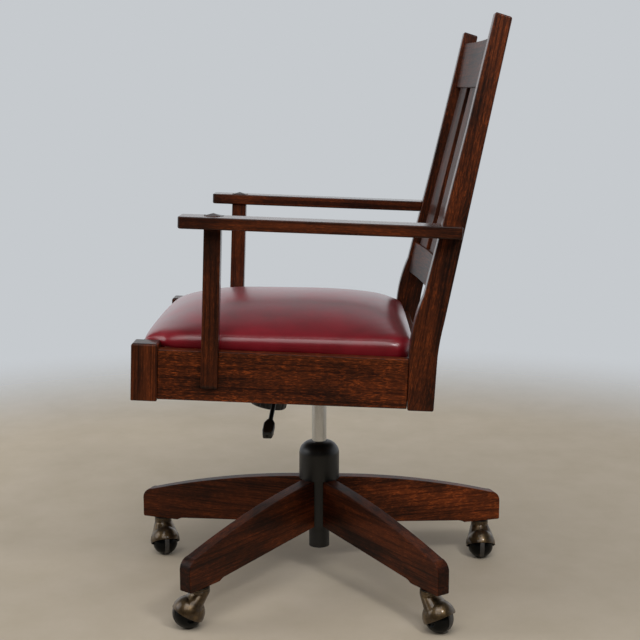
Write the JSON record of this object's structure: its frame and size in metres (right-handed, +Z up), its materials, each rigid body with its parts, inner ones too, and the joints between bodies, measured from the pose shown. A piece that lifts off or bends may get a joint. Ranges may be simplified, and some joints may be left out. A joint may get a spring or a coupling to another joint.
{
  "type": "office chair",
  "caption": "Swivel armchair in dark oak with a bowed slat back, oxblood drop-in seat, gas lift, tilt and a wooden star base on hooded casters.",
  "frame": {"origin": "on the column axis at the floor", "axes": "+Z up, the sitter faces -Y, +X is the sitter's left"},
  "size_m": [0.7021, 0.7228, 1.0428],
  "materials": {
    "oak": "dark fumed and stained quarter-sawn oak under satin lacquer",
    "batten_wood": "plain sawn oak, unfinished",
    "plywood": "birch plywood, sanded",
    "leather": "oxblood leather with a smooth glossy finish",
    "cylinder_chrome": "satin chrome plate",
    "rod_steel": "zinc plated steel",
    "spring_steel": "oiled spring wire",
    "black_enamel": "black powder coat on steel",
    "black_plastic": "black moulded polypropylene",
    "caster_bronze": "dark antique bronze plate, polished",
    "caster_black": "black moulded nylon",
    "socket_steel": "pressed steel sleeve",
    "pad_rubber": "black moulded rubber"
  },
  "bodies": {
    "base": {"base_hub": "black_enamel", "hub_cover": "black_plastic", "leg_bolts": "rod_steel", "caster_sockets": "socket_steel", "guide_bush": "black_plastic", "thrust_bearing": "rod_steel", "leg_1": "oak", "leg_2": "oak", "leg_3": "oak", "leg_4": "oak", "leg_5": "oak"},
    "gas_rod": {"piston_rod": "rod_steel", "rod_clip": "rod_steel"},
    "mechanism": {"gas_cylinder": "cylinder_chrome", "taper_socket": "black_enamel", "mech_housing": "black_enamel", "tilt_axle": "rod_steel", "tilt_spring": "spring_steel", "stop_pad": "pad_rubber"},
    "valve": {"valve_pin": "rod_steel"},
    "lever": {"lever_rod": "black_enamel", "lever_paddle": "black_plastic"},
    "knob": {"tension_knob": "black_plastic"},
    "seat": {"seat_plate": "black_enamel", "tension_bolt": "rod_steel", "plate_bolts": "rod_steel", "front_batten": "batten_wood", "rear_batten": "batten_wood", "side_rail_left": "oak", "side_rail_right": "oak", "front_rail": "oak", "rear_rail": "oak", "front_post_left": "oak", "front_post_right": "oak", "back_post_left": "oak", "back_post_right": "oak", "arm_post_left": "oak", "arm_post_right": "oak", "arm_left": "oak", "arm_right": "oak", "crest_rail": "oak", "lower_back_rail": "oak", "corner_blocks": "batten_wood", "seat_board": "plywood", "cushion": "leather", "slat_1": "oak", "slat_2": "oak", "slat_3": "oak", "slat_4": "oak", "slat_5": "oak"},
    "caster_1": {"caster_hood_1": "caster_bronze"},
    "wheels_1": {"caster_wheels_1": "caster_black"},
    "caster_2": {"caster_hood_2": "caster_bronze"},
    "wheels_2": {"caster_wheels_2": "caster_black"},
    "caster_3": {"caster_hood_3": "caster_bronze"},
    "wheels_3": {"caster_wheels_3": "caster_black"},
    "caster_4": {"caster_hood_4": "caster_bronze"},
    "wheels_4": {"caster_wheels_4": "caster_black"},
    "caster_5": {"caster_hood_5": "caster_bronze"},
    "wheels_5": {"caster_wheels_5": "caster_black"}
  },
  "joints": [
    {"name": "base_swivel", "type": "hinge", "parent": "base", "child": "gas_rod", "pos_m": [0, 0, 0.06], "axis": [0, 0, 1], "continuous": true},
    {"name": "seat_lift", "type": "slide", "parent": "gas_rod", "child": "mechanism", "axis": [0, 0, 1], "range_m": [-0.045, 0.055]},
    {"name": "seat_tilt", "type": "hinge", "parent": "mechanism", "child": "seat", "pos_m": [0, -0.045, 0.378], "axis": [-1, 0, 0], "range_deg": [0, 12], "stiffness_Nm_per_rad": 60, "springref_deg": -22.92, "deforming": ["tilt_spring"]},
    {"name": "lever_lift", "type": "hinge", "parent": "mechanism", "child": "lever", "pos_m": [0.0485, -0.0815, 0.3562], "axis": [0, -1, 0], "range_deg": [0, 6], "stiffness_Nm_per_rad": 8, "springref_deg": -3.44},
    {"name": "valve_press", "type": "slide", "parent": "mechanism", "child": "valve", "axis": [0, 0, -1], "range_m": [0, 0.0052]},
    {"name": "tension_turn", "type": "hinge", "parent": "seat", "child": "knob", "pos_m": [0, -0.1, 0.3265], "axis": [0, 0.2079, 0.9781], "range_deg": [-720, 720]},
    {"name": "caster_1_swivel", "type": "hinge", "parent": "base", "child": "caster_1", "pos_m": [-0.33798, 0.00354, 0.07], "axis": [0, 0, 1], "continuous": true},
    {"name": "wheels_1_roll", "type": "hinge", "parent": "caster_1", "child": "wheels_1", "pos_m": [-0.35483, 0.01768, 0.025], "axis": [-0.6428, -0.766, 0], "continuous": true},
    {"name": "caster_2_swivel", "type": "hinge", "parent": "base", "child": "caster_2", "pos_m": [-0.10781, -0.32035, 0.07], "axis": [0, 0, 1], "continuous": true},
    {"name": "wheels_2_roll", "type": "hinge", "parent": "caster_2", "child": "wheels_2", "pos_m": [-0.08677, -0.31391, 0.025], "axis": [-0.2924, 0.9563, 0], "continuous": true},
    {"name": "caster_3_swivel", "type": "hinge", "parent": "base", "child": "caster_3", "pos_m": [0.27135, -0.20152, 0.07], "axis": [0, 0, 1], "continuous": true},
    {"name": "wheels_3_roll", "type": "hinge", "parent": "caster_3", "child": "wheels_3", "pos_m": [0.27888, -0.2222, 0.025], "axis": [0.9397, 0.342, 0], "continuous": true},
    {"name": "caster_4_swivel", "type": "hinge", "parent": "base", "child": "caster_4", "pos_m": [0.27551, 0.1958, 0.07], "axis": [0, 0, 1], "continuous": true},
    {"name": "wheels_4_roll", "type": "hinge", "parent": "caster_4", "child": "wheels_4", "pos_m": [0.29023, 0.21215, 0.025], "axis": [-0.7431, 0.6691, 0], "continuous": true},
    {"name": "caster_5_swivel", "type": "hinge", "parent": "base", "child": "caster_5", "pos_m": [-0.10108, 0.32253, 0.07], "axis": [0, 0, 1], "continuous": true},
    {"name": "wheels_5_roll", "type": "hinge", "parent": "caster_5", "child": "wheels_5", "pos_m": [-0.07909, 0.3233, 0.025], "axis": [-0.0349, 0.9994, 0], "continuous": true}
  ],
  "couplings": [
    {"joint": "valve_press", "follows": "lever_lift", "m_per_rad": 0.0485}
  ]
}
